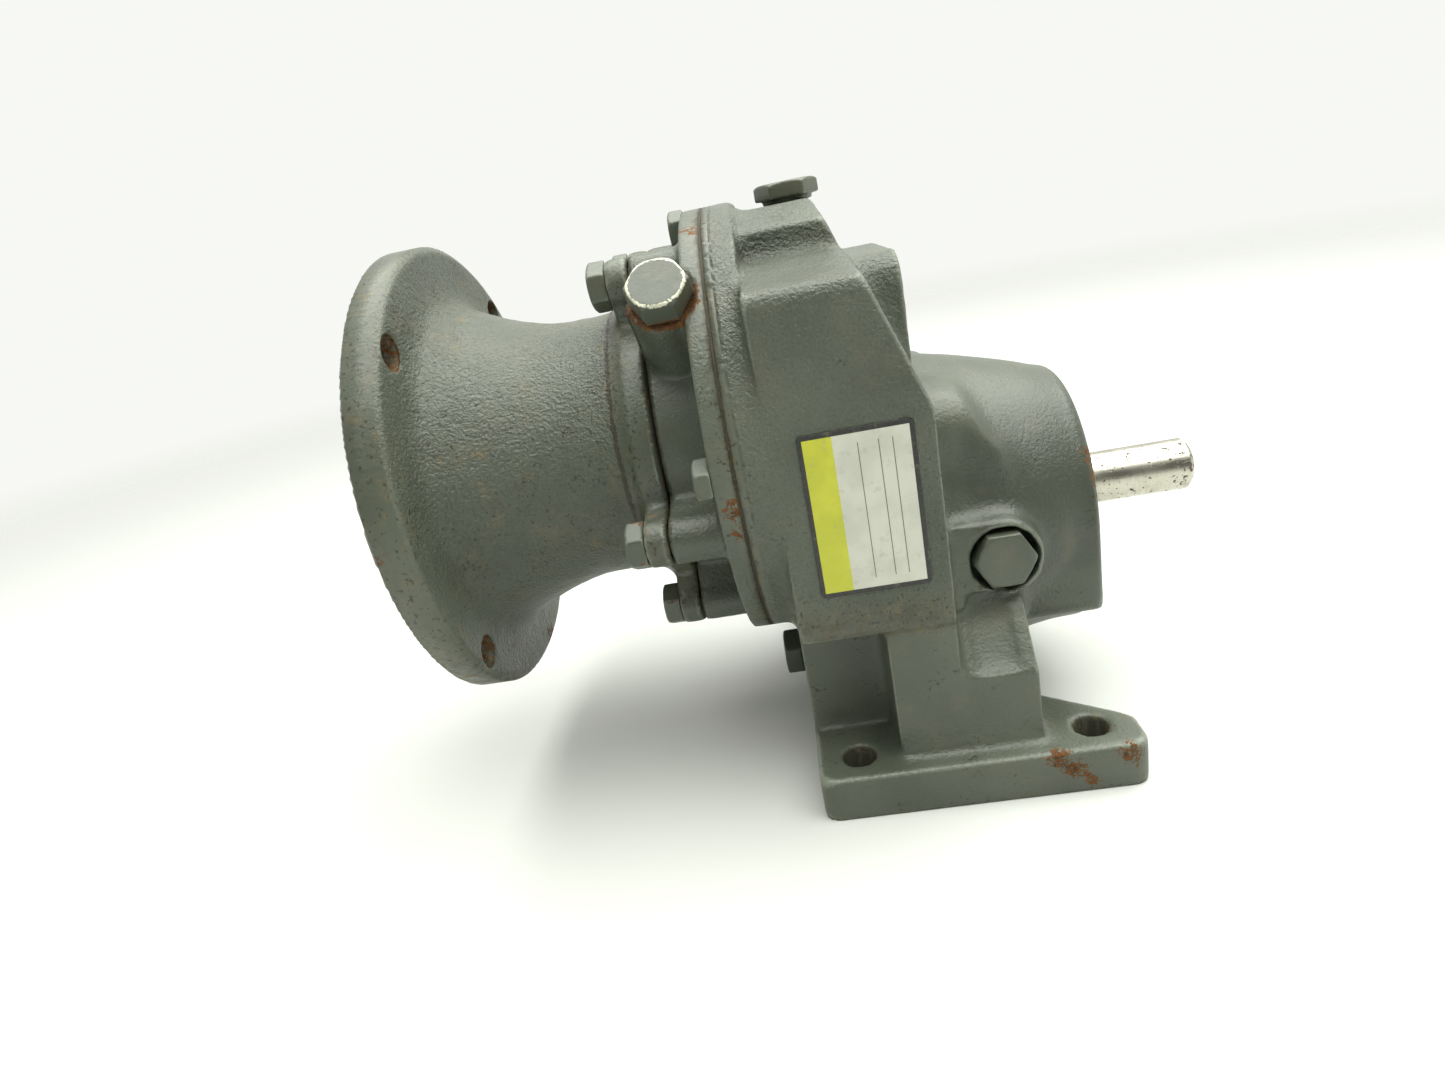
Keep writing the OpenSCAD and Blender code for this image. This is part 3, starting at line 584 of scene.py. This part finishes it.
# Rust and wear spots: x, y, z, radius and strength
HOUSING_RUST = [
    (24, -81, 14, 6, 0.95),
    (29, -81, 9, 6, 0.9),
    (34, -81, 4, 4, 0.8),
    (46, -81, 13, 6, 0.9),
    (52, -74, 8, 8, 0.9),
    (53, -66, 12, 7, 0.8),
    (-49, -70, 96, 5, 0.8),
    (-49, -66, 86, 4, 0.7),
    (52, -38, 98, 6, 0.95),
    (52, -40, 91, 5, 0.95),
    (52, -41, 85, 4, 0.85),
    (6, 81, 10, 8, 0.8),
    (-40, 80, 12, 7, 0.8),
    (56, 25, 60, 7, 0.6),
]
COVER_RUST = [(-63, -74, 112, 6, 0.9), (-63, -73, 104, 4, 0.8), (-64, -30, 190, 6, 0.6)]
ADAPTER_RUST = [(-166, -60, 178, 6, 0.35), (-170, -80, 118, 5, 0.6), (-161, 10, 40, 9, 0.7)]
HOUSING_WEAR = [(-6, -70, 146, 2.5, 0.7), (-16, -40, 173, 3, 0.7), (-49, -70, 150, 3, 0.6)]


def housing_dirt(points, relief):
    """A dirty band low on the side walls, painted shade with dirt in the hollows, painted shade in the
    foot's bolt holes and over the hub, and a rusty underside of the hub.
    """
    side = abs(points[:, 1])
    band = step(points[:, 2], 84, 68) * step(points[:, 2], 60, 63) * step(side, 70, 73)
    grime_and_shade = np.maximum(0.8 * seam_dirt(points, [COVER_HIGH[0]], 0.9), 0.62 * band)
    # Painted shade with dirt in the hollows.
    grime_and_shade = np.maximum(grime_and_shade, 0.5 * step(relief, 0.2, 0.7))
    # Darker along the lowest 3.5 mm of the foot.
    grime_and_shade = np.maximum(grime_and_shade, 0.35 * step(points[:, 2], 3.5, 0.5))
    # Painted shade: the walls of the foot's bolt holes are darkened fully.
    foot = points[:, 2] < FOOT_T + 1
    grime_and_shade = np.maximum(grime_and_shade, foot * hole_walls(points, FOOT_HOLES, 2))
    # Painted shade: the hub end of the housing, between about z 66 and z 108, is darkened.
    hub = step(points[:, 0], 6, 12) * step(points[:, 2], 58, 66) * step(points[:, 2], 128, 108)
    return {
        "grime_and_shade": grime_and_shade,
        "rust": spots(points, HOUSING_RUST),
        "wear": spots(points, HOUSING_WEAR),
        "hub_shade": hub,
    }


def housing_melt(points):
    """The chamber's shoulders blend into the top of the hub, and the level plug's boss into its side."""
    shoulder = step(points[:, 0], 5, 9) * step(points[:, 0], 36, 30) * step(points[:, 2], 96, 102)
    shoulder *= np.hypot(points[:, 1], points[:, 2] - OUT_H) > 31
    radius = np.hypot(points[:, 0] - X_LEVEL, points[:, 2] - OUT_H)
    boss = step(radius, 11.9, 12.9) * step(radius, 24, 18) * step(points[:, 1], -42, -48)
    boss *= (points[:, 2] > OUT_H - 6) * (points[:, 0] > 6)
    return np.maximum(shoulder, 0.22 * boss)


def no_melt(points):
    return np.zeros(len(points))


def housing_grit(points):
    """The case walls are rough; the hub, pedestal and foot came out of the mould smoother."""
    wall = step(points[:, 2], 62, 70) * step(points[:, 0], 4, -2)
    return 0.2 + 0.8 * wall


def cover_grit(points):
    return np.full(len(points), 0.35)


def adapter_grit(points):
    """The neck is rough; the collar next to the cover and the flange rim are smoother."""
    neck = step(points[:, 0], X_PLATE_FRONT - 3, X_PLATE_FRONT - 8)
    rim = step(np.hypot(points[:, 1], points[:, 2] - IN_H), 79, 82)
    return 0.2 + 0.8 * neck * (1 - 0.95 * rim)


def housing_sharp(points):
    """Where the housing's large fillets are held back: foot holes, level plug pocket and inner bores."""
    inside = np.hypot(points[:, 1], points[:, 2] - OUT_H) < 31
    pocket = (np.hypot(points[:, 0] - X_LEVEL, points[:, 2] - OUT_H) < 12) & (points[:, 1] < -35)
    foot = points[:, 2] < 12
    return (inside | pocket | foot).astype(float)


def on_fill_axis(points):
    """How far points lie along the fill plug's axis from the input shaft, and how far from the axis."""
    across = (points[:, 2] - IN_H + points[:, 1]) / math.sqrt(2)
    along = (points[:, 2] - IN_H - points[:, 1]) / math.sqrt(2)
    return along, np.hypot(across, points[:, 0] - X_FILL)


def cover_dirt(points, relief):
    """Dirty seams, painted shade with dirt in the hollows, and a rust ring round the fill plug's seat."""
    grime_and_shade = 0.8 * seam_dirt(points, [COVER_LOW[0], PLATE_HIGH[0]], 0.9)
    along, radius = on_fill_axis(points)
    seat = 0.9 * step(along, 72, 73.5) * step(radius, 13, 11.5) * step(points[:, 2], 182, 172)
    rim = spots(points, COVER_RUST)
    return {
        # Painted shade with dirt in the hollows.
        "grime_and_shade": np.maximum(grime_and_shade, 0.6 * step(relief, 0.15, 0.6)),
        "rust": np.maximum(seat, rim),
        "wear": np.zeros(len(points)),
    }


def cover_sharp(points):
    return (np.hypot(points[:, 1], points[:, 2] - IN_H) < 34).astype(float)


def adapter_dirt(points, relief):
    """Dirty joint collar, brown flange rim, rusty bolt holes, painted shade with dirt in the hollows,
    and painted shade on the lower part of the flange.
    """
    radius = np.hypot(points[:, 1], points[:, 2] - IN_H)
    flange = step(points[:, 0], X_FLANGE_BACK + 1, X_FLANGE_BACK - 1)
    rim = flange * step(radius, 79, 82)
    low = step(points[:, 2], IN_H - 20, IN_H - 75)
    collar = 0.8 * seam_dirt(points, [X_PLATE_FRONT - 4.5, PLATE_LOW[0]], 1.3)
    # Painted shade with dirt in the hollows.
    grime_and_shade = np.maximum(collar, 0.45 * step(relief, 0.2, 0.7))
    # The flange rim is dirty brown; towards the bottom the rim and the whole flange are darkened further,
    # which is painted shade.
    grime_and_shade = np.maximum(grime_and_shade, rim * (0.36 + 0.2 * low))
    grime_and_shade = np.maximum(grime_and_shade, 0.6 * flange * low)
    neck = step(points[:, 0], X_PLATE_FRONT - 30, X_PLATE_FRONT - 5)
    patches = step(value_noise(points, 14, 71) + 0.5 * value_noise(points, 6, 72), -0.3, 0.7)
    grime_and_shade = np.maximum(grime_and_shade, neck * (0.25 + 0.3 * patches))
    grime_and_shade = np.maximum(grime_and_shade, 0.45 * patches * (1 - rim))
    grime_and_shade = np.maximum(grime_and_shade, 0.6 * hole_walls(points, FLANGE_HOLES, 0))
    spotted = spots(points, ADAPTER_RUST)
    return {
        "grime_and_shade": grime_and_shade,
        "rust": np.maximum(spotted, 0.62 * hole_walls(points, FLANGE_HOLES, 0)),
        "wear": np.zeros(len(points)),
    }


def adapter_sharp(points):
    return (np.hypot(points[:, 1], points[:, 2] - IN_H) < 33).astype(float)


def no_dirt(points, relief):
    return {name: np.zeros(len(points)) for name in ("grime_and_shade", "rust", "wear")}


def used_head(points, relief):
    """Screw heads: painted shade with dirt in the corners, and a little rust where the tool has rubbed."""
    patches = step(value_noise(points, 6, 41), 0.35, 0.75)
    return {
        # Painted shade with dirt in the corners.
        "grime_and_shade": 0.5 * step(relief, 0.05, 0.35),
        "rust": 0.55 * patches * step(relief, -0.02, -0.14),
        "wear": 0.25 * step(relief, -0.05, -0.2),
    }


def worn_plug(points, relief):
    """The fill plug's edges are worn down to pale primer, and its seat is rusty."""
    along, radius = on_fill_axis(points)
    top = along.max()
    flat_r = radius[along > top - 0.15].max()
    edge = step(relief, -0.03, -0.16)
    circle = step(abs(radius - flat_r), 0.8, 0.2) * step(along, top - 1.6, top - 0.9)
    upper = step(points[:, 2], 165, 176)
    return {
        # Painted shade with dirt in the corners.
        "grime_and_shade": 0.4 * step(relief, 0.05, 0.3),
        "rust": 0.8 * step(along, 76.5, 74.5),
        "wear": np.maximum(0.15 * edge, circle * (0.34 + 0.26 * upper)) + 0.2 * step(along, 79, 82),
    }


def small_part(node, voxel, triangles, dirt, seed):
    """A painted screw or plug: softened corners, thin paint ripple and its own dirt fields."""
    piece = remeshed_copy(node, "painted_" + node, voxel)
    mesh = piece.data
    edges = read_edges(mesh)
    points = smoothed(read_points(mesh), edges, 3)
    write_points(mesh, points)
    normals = read_normals(mesh)
    broad = smoothed(points, edges, 16)
    relief = np.einsum("ij,ij->i", broad - points, normals)
    points = points + normals * (0.05 * value_noise(points, 2.2, seed))[:, None]
    write_points(mesh, points)
    write_field(mesh, "relief", np.clip(relief / 0.5, -1, 1))
    for name, values in dirt(points, relief).items():
        write_field(mesh, name, np.clip(values, 0, 1))
    thinned(piece, triangles)
    return piece


def dress(piece, node, material, body="case"):
    """Gives a piece its material and puts it in the node's place."""
    piece.data.materials.append(material)
    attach(piece, body)
    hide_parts(node)


cast_paint = painted("cast_paint", True)
screw_paint = painted("screw_paint", False)

CASTINGS = [
    (
        "housing", 1.0, HOUSING_FACES, 40, 150_000,
        housing_sharp, housing_melt, housing_grit, housing_dirt, 11,
    ),
    ("input_cover", 0.8, COVER_FACES, 30, 60_000, cover_sharp, no_melt, cover_grit, cover_dirt, 21),
    (
        "motor_adapter", 1.0, ADAPTER_FACES, 60, 110_000,
        adapter_sharp, no_melt, adapter_grit, adapter_dirt, 31,
    ),
]
for node, *how in CASTINGS:
    dress(casting(node, *how), node, cast_paint)

SMALL_PARTS = [
    ("cover_screws", 0.45, 24_000, used_head),
    ("adapter_screws", 0.5, 36_000, used_head),
    ("breather_plug", 0.4, 12_000, used_head),
    ("fill_plug", 0.4, 12_000, worn_plug),
    ("level_plug", 0.4, 12_000, no_dirt),
    ("drain_plug", 0.4, 10_000, used_head),
]
for seed, (node, voxel, triangles, dirt) in enumerate(SMALL_PARTS, 51):
    dress(small_part(node, voxel, triangles, dirt, seed), node, screw_paint)


# ---------- label ----------


LABEL_RADIUS = 1.6
LABEL_BORDER = 1.5
LABEL_STRIP = 8.6


def label_outline(inset):
    """Points round a rectangle with rounded corners, as x and z, inset from the label's edge."""
    r = LABEL_RADIUS
    steps = 6
    points = []
    x0, x1 = LABEL_LOW[0] + inset + r, LABEL_HIGH[0] - inset - r
    z0, z1 = LABEL_LOW[2] + inset + r, LABEL_HIGH[2] - inset - r
    for turn, (cx, cz) in enumerate(((x1, z1), (x0, z1), (x0, z0), (x1, z0))):
        for i in range(steps + 1):
            angle = math.radians(90 * (turn + i / steps))
            points.append((cx + r * math.cos(angle), cz + r * math.sin(angle)))
    return points


def make_label():
    """A thin sticker with rounded corners, whose edge is turned down to the wall."""
    back = LABEL_HIGH[1]
    front = LABEL_LOW[1]
    rows = [(0.0, back), (0.0, front + 0.12), (0.2, front)]
    points = []
    for inset, y in rows:
        points += [(x * MM, y * MM, z * MM) for x, z in label_outline(inset)]
    count = len(points) // len(rows)
    faces = []
    for start in range(0, (len(rows) - 1) * count, count):
        for i in range(count):
            following = (i + 1) % count
            faces.append((start + i, start + following, start + count + following, start + count + i))
    faces.append(tuple(range(count - 1, -1, -1)))
    faces.append(tuple(range(2 * count, 3 * count)))
    mesh = bpy.data.meshes.new("label")
    mesh.from_pydata(points, [], faces)
    mesh.update()
    piece = bpy.data.objects.new("label", mesh)
    bpy.context.scene.collection.objects.link(piece)
    return piece


def label_finish():
    """Blank label: dark border, yellow strip, off-white field with thin ruled lines, light soiling."""
    f = Finish("label")
    x = f.math("DIVIDE", f.axis("X"), MM)
    z = f.math("DIVIDE", f.axis("Z"), MM)

    def band(value, low, high):
        inside = f.math("GREATER_THAN", value, low)
        return f.math("MULTIPLY", inside, f.math("LESS_THAN", value, high))

    def block(x0, x1, z0, z1):
        return f.math("MULTIPLY", band(x, x0, x1), band(z, z0, z1))

    left = LABEL_LOW[0] + LABEL_BORDER
    right = LABEL_HIGH[0] - LABEL_BORDER
    low = LABEL_LOW[2] + LABEL_BORDER
    high = LABEL_HIGH[2] - LABEL_BORDER
    speck = f.noise(0.9, 3.0, 0.6)
    cloud = f.noise(9, 3.0)
    paper = f.mix(f.between(cloud, 0.35, 0.65), (0.50, 0.51, 0.44), (0.57, 0.58, 0.50))
    yellow = f.mix(f.between(cloud, 0.35, 0.65), (0.46, 0.48, 0.03), (0.53, 0.54, 0.04))
    ink = f.mix(f.between(speck, 0.3, 0.7), (0.010, 0.010, 0.010), (0.025, 0.024, 0.021))
    colour = f.mix(block(left, right, low, high), ink, paper)
    colour = f.mix(block(left, left + LABEL_STRIP, low, high), colour, yellow)
    lines = block(right - 5.2, right - 4.9, low + 3, high - 3)
    for offset in (left + LABEL_STRIP + 7, left + LABEL_STRIP + 13):
        lines = f.math("MAXIMUM", lines, block(offset, offset + 0.3, low + 3, high - 3))
    colour = f.mix(f.math("MULTIPLY", lines, 0.75), colour, ink)
    soil = f.math("MULTIPLY", f.between(f.noise(3.5, 4.0, 0.65), 0.55, 0.75), 0.3)
    colour = f.mix(soil, colour, (0.25, 0.23, 0.17))
    f.set(base_color=colour, roughness=f.between(cloud, 0.3, 0.7, 0.3, 0.42))
    f.bump(f.noise(5, 2.0), 0.05, 0.5)
    return f.material


dress(make_label(), "nameplate", label_finish())


# ---------- materials of the machined and hidden parts ----------


ground = steel("bearing_steel", (0.62, 0.61, 0.58), (0.42, 0.41, 0.38), 0.24, (1, 0.1, 0.1))
cut_steel = steel("gear_steel", (0.50, 0.49, 0.46), (0.30, 0.29, 0.27), 0.34, (0.12, 1, 1))
black_steel = steel("black_steel", (0.10, 0.10, 0.095), (0.045, 0.045, 0.045), 0.42, (1, 1, 1), 0.8)
brass = steel("cage_brass", (0.62, 0.47, 0.20), (0.42, 0.30, 0.12), 0.36, (1, 0.15, 0.15))
rubber = dull("seal_rubber", (0.010, 0.010, 0.010), (0.030, 0.029, 0.028), 0.9, 0.55, 0.08)
fibre = dull("gasket_fibre", (0.040, 0.034, 0.022), (0.085, 0.074, 0.050), 0.7, 0.8, 0.15)

LOOKS = {
    output_shaft_steel(): ["output_shaft"],
    cut_steel: ["output_gear", "gear_spacer", "input_pinion_shaft"],
    ground: ["dowel_pins"] + [
        f"{line}_{end}_{part}"
        for line in ("output", "input")
        for end in ("front", "rear")
        for part in ("outer_race", "inner_race", "balls")
    ],
    brass: [f"{line}_{end}_cage" for line in ("output", "input") for end in ("front", "rear")],
    black_steel: ["gear_key", "gear_snap_ring", "output_bearing_snap_ring", "input_bearing_snap_ring"],
    rubber: ["output_oil_seal", "input_oil_seal"],
    fibre: ["cover_gasket", "adapter_gasket"],
}
for material, names in LOOKS.items():
    for name in names:
        nodes[name].data.materials.clear()
        nodes[name].data.materials.append(material)


# ---------- floor, light and camera ----------


FLOOR_HALF = 4.0
FLOOR_DROP = 0.0002
FLOOR_FADE = (0.5, 1.8)
CAMERA_PLACE = (-0.0387, -0.3131, 0.1914)
CAMERA_TURN = (math.radians(69.29), math.radians(11.01), math.radians(2.96))
CAMERA_LENS = 21.18
LIGHT_TINT = (0.985, 1.0, 0.945)
LIGHT_AIM = (0, 0, 0.1)
BACKDROP = (0.93, 0.94, 0.9, 1)
ROOM = (0.12, 0.12, 0.11, 1)
BACKDROP_FROM = -0.35
BACKDROP_TO = 0.2


def make_floor():
    """A wide pale floor under the foot, which fades into the backdrop colour."""
    mesh = bpy.data.meshes.new("floor")
    signs = [(-1, -1), (1, -1), (1, 1), (-1, 1)]
    mesh.from_pydata([(x * FLOOR_HALF, y * FLOOR_HALF, 0) for x, y in signs], [], [(0, 1, 2, 3)])
    floor = bpy.data.objects.new("floor", mesh)
    floor.location.z = -FLOOR_DROP
    bpy.context.scene.collection.objects.link(floor)
    f = Finish("floor")
    f.set(base_color=(0.60, 0.61, 0.585), roughness=0.6, specular_ior_level=0.2)
    away = f.nodes.new("ShaderNodeVectorMath")
    away.operation = "LENGTH"
    f.put(away.inputs[0], f.place)
    clear = f.nodes.new("ShaderNodeBsdfTransparent")
    blend = f.nodes.new("ShaderNodeMixShader")
    f.put(blend.inputs[0], f.between(away.outputs["Value"], *FLOOR_FADE))
    f.put(blend.inputs[1], f.shader.outputs["BSDF"])
    f.put(blend.inputs[2], clear.outputs["BSDF"])
    f.put(f.output.inputs["Surface"], blend.outputs[0])
    mesh.materials.append(f.material)


def make_light(name, place, size, power):
    """A square softbox at place, facing the gearbox."""
    light = bpy.data.lights.new(name, "AREA")
    light.size = size
    light.energy = power
    light.color = LIGHT_TINT
    lamp = bpy.data.objects.new(name, light)
    lamp.location = place
    direction = np.array(LIGHT_AIM) - np.array(place)
    lamp.rotation_euler = Euler(
        (
            math.atan2(math.hypot(direction[0], direction[1]), -direction[2]),
            0,
            math.atan2(direction[0], -direction[1]) + math.pi,
        )
    )
    bpy.context.scene.collection.objects.link(lamp)


def make_camera():
    """A wide camera a little left of the foot, looking across it and down, slightly rolled."""
    camera = bpy.data.cameras.new("camera")
    camera.lens = CAMERA_LENS
    camera.sensor_width = 36
    camera.clip_start = 0.01
    eye = bpy.data.objects.new("camera", camera)
    eye.location = CAMERA_PLACE
    eye.rotation_euler = Euler(CAMERA_TURN)
    bpy.context.scene.collection.objects.link(eye)
    bpy.context.scene.camera = eye


def make_world():
    """Lights the gearbox from a pale backdrop and a dark room behind the camera; shows only the backdrop."""
    world = bpy.data.worlds.new("studio")
    world.use_nodes = True
    tree = world.node_tree
    place = tree.nodes.new("ShaderNodeTexCoord")
    split = tree.nodes.new("ShaderNodeSeparateXYZ")
    shade = tree.nodes.new("ShaderNodeMapRange")
    seen = tree.nodes.new("ShaderNodeLightPath")
    share = tree.nodes.new("ShaderNodeMath")
    tint = tree.nodes.new("ShaderNodeMix")
    shade.interpolation_type = "SMOOTHSTEP"
    for socket, value in zip(shade.inputs[1:5], (BACKDROP_FROM, BACKDROP_TO, 0, 1)):
        socket.default_value = value
    share.operation = "MAXIMUM"
    tint.data_type = "RGBA"
    tint.inputs[6].default_value = ROOM
    tint.inputs[7].default_value = BACKDROP
    tree.links.new(place.outputs["Generated"], split.inputs[0])
    tree.links.new(split.outputs["Y"], shade.inputs[0])
    tree.links.new(shade.outputs[0], share.inputs[0])
    tree.links.new(seen.outputs["Is Camera Ray"], share.inputs[1])
    tree.links.new(share.outputs[0], tint.inputs[0])
    tree.links.new(tint.outputs[2], tree.nodes["Background"].inputs["Color"])
    bpy.context.scene.world = world


make_floor()
make_camera()
make_world()
make_light("overhead", (0.18, 0.0, 1.1), 1.7, 43)
make_light("front", (-0.7, -0.8, 0.8), 0.6, 1.6)
bpy.context.scene.view_settings.view_transform = "Standard"
